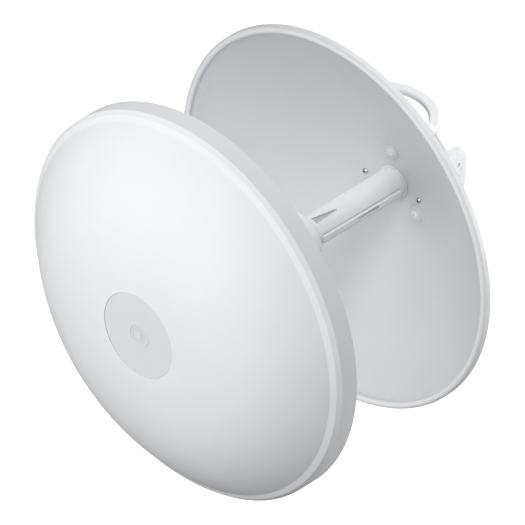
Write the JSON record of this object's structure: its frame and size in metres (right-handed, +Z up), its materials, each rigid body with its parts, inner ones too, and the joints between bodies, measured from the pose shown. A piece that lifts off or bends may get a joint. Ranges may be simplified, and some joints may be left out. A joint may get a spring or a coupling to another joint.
{
  "type": "outdoor wireless bridge",
  "caption": "Round dish radio for a point-to-point outdoor link, with a feed tube, a domed cover that pulls off forward, a tilt lock and a screw clamp for a mast.",
  "frame": {"origin": "on the mast's axis, at the middle of the clamp's height", "axes": "+Z up along the mast, the dish looks along -Y, and the dish's axis is at +X of the mast"},
  "size_m": [0.426, 0.4904, 0.426],
  "materials": {
    "dish_paint": "satin powder coat",
    "radome_plastic": "fine matt, UV-stable",
    "badge_plastic": "fine matt",
    "feed_plastic": "fine satin",
    "latch_plastic": "satin",
    "housing_plastic": "fine texture",
    "bracket_paint": "satin powder coat",
    "cast_paint": "powder coat over casting",
    "zinc_steel": "zinc plated",
    "seal_rubber": "matt, light grey",
    "dielectric_plastic": "natural",
    "bare_aluminium": "machined",
    "board_laminate": "solder mask",
    "tinned_steel": "tin plated",
    "jack_plastic": "moulded",
    "contact_metal": "gold flashed",
    "clear_plastic": "clear",
    "button_plastic": "matt"
  },
  "bodies": {
    "mast_side": {"pole_bracket": "bracket_paint", "ground_screw": "zinc_steel", "pivot_bolt": "zinc_steel", "pivot_nut": "zinc_steel", "pivot_washers": "zinc_steel", "mast_saddle": "cast_paint", "saddle_rivets": "zinc_steel", "clamp_yoke": "cast_paint", "yoke_bolts": "zinc_steel"},
    "dish": {"dish_reflector": "dish_paint", "dish_screws": "dish_paint", "feed_shell_upper": "feed_plastic", "feed_shell_lower": "feed_plastic", "head_collar": "feed_plastic", "nose_cap": "feed_plastic", "seam_latch": "latch_plastic", "rear_housing": "housing_plastic", "rear_cap": "housing_plastic", "dish_bracket": "bracket_paint", "dish_nuts": "zinc_steel", "dish_rivets": "zinc_steel", "housing_screws": "zinc_steel", "cap_screws": "zinc_steel", "port_hinge_pin": "zinc_steel", "lock_bolt": "zinc_steel", "lock_washer": "zinc_steel", "lock_nut": "zinc_steel", "feed_gasket": "seal_rubber", "head_seal": "seal_rubber", "dielectric_cone": "dielectric_plastic", "subreflector": "bare_aluminium", "heat_spreader": "bare_aluminium", "main_board": "board_laminate", "shield_can": "tinned_steel", "radiator": "tinned_steel", "ethernet_jack": "jack_plastic", "jack_contacts": "contact_metal", "light_pipes": "clear_plastic"},
    "radome": {"radome_shell": "radome_plastic", "radome_badge": "badge_plastic", "radome_seal": "seal_rubber", "radome_clips": "badge_plastic"},
    "jaw": {"clamp_jaw": "cast_paint", "guide_pins": "zinc_steel"},
    "clamp_screw_body": {"clamp_screw": "zinc_steel"},
    "port_cover_body": {"port_cover": "housing_plastic"},
    "reset": {"reset_button": "button_plastic"}
  },
  "joints": [
    {"name": "tilt", "type": "hinge", "parent": "mast_side", "child": "dish", "pos_m": [0.082, -0.015, 0], "axis": [1, 0, 0], "range_deg": [-20, 20]},
    {"name": "radome_slide", "type": "slide", "parent": "dish", "child": "radome", "axis": [0, 1, 0], "range_m": [0, 0.196]},
    {"name": "jaw_slide", "type": "slide", "parent": "mast_side", "child": "jaw", "axis": [-1, 0, 0], "range_m": [0, 0.011]},
    {"name": "screw_turn", "type": "hinge", "parent": "jaw", "child": "clamp_screw_body", "pos_m": [-0.06, 0, 0], "axis": [-1, 0, 0], "range_deg": [0, 3168.5]},
    {"name": "cover_hinge", "type": "hinge", "parent": "dish", "child": "port_cover_body", "pos_m": [0.082, -0.0246, -0.0276], "axis": [1, 0, 0], "range_deg": [0, 100]},
    {"name": "reset_press", "type": "slide", "parent": "dish", "child": "reset", "axis": [0, -1, 0], "range_m": [0, 0.0008], "stiffness_N_per_m": 1500}
  ],
  "couplings": [
    {"joint": "screw_turn", "follows": "jaw_slide", "rad_per_m": 5026.5}
  ]
}
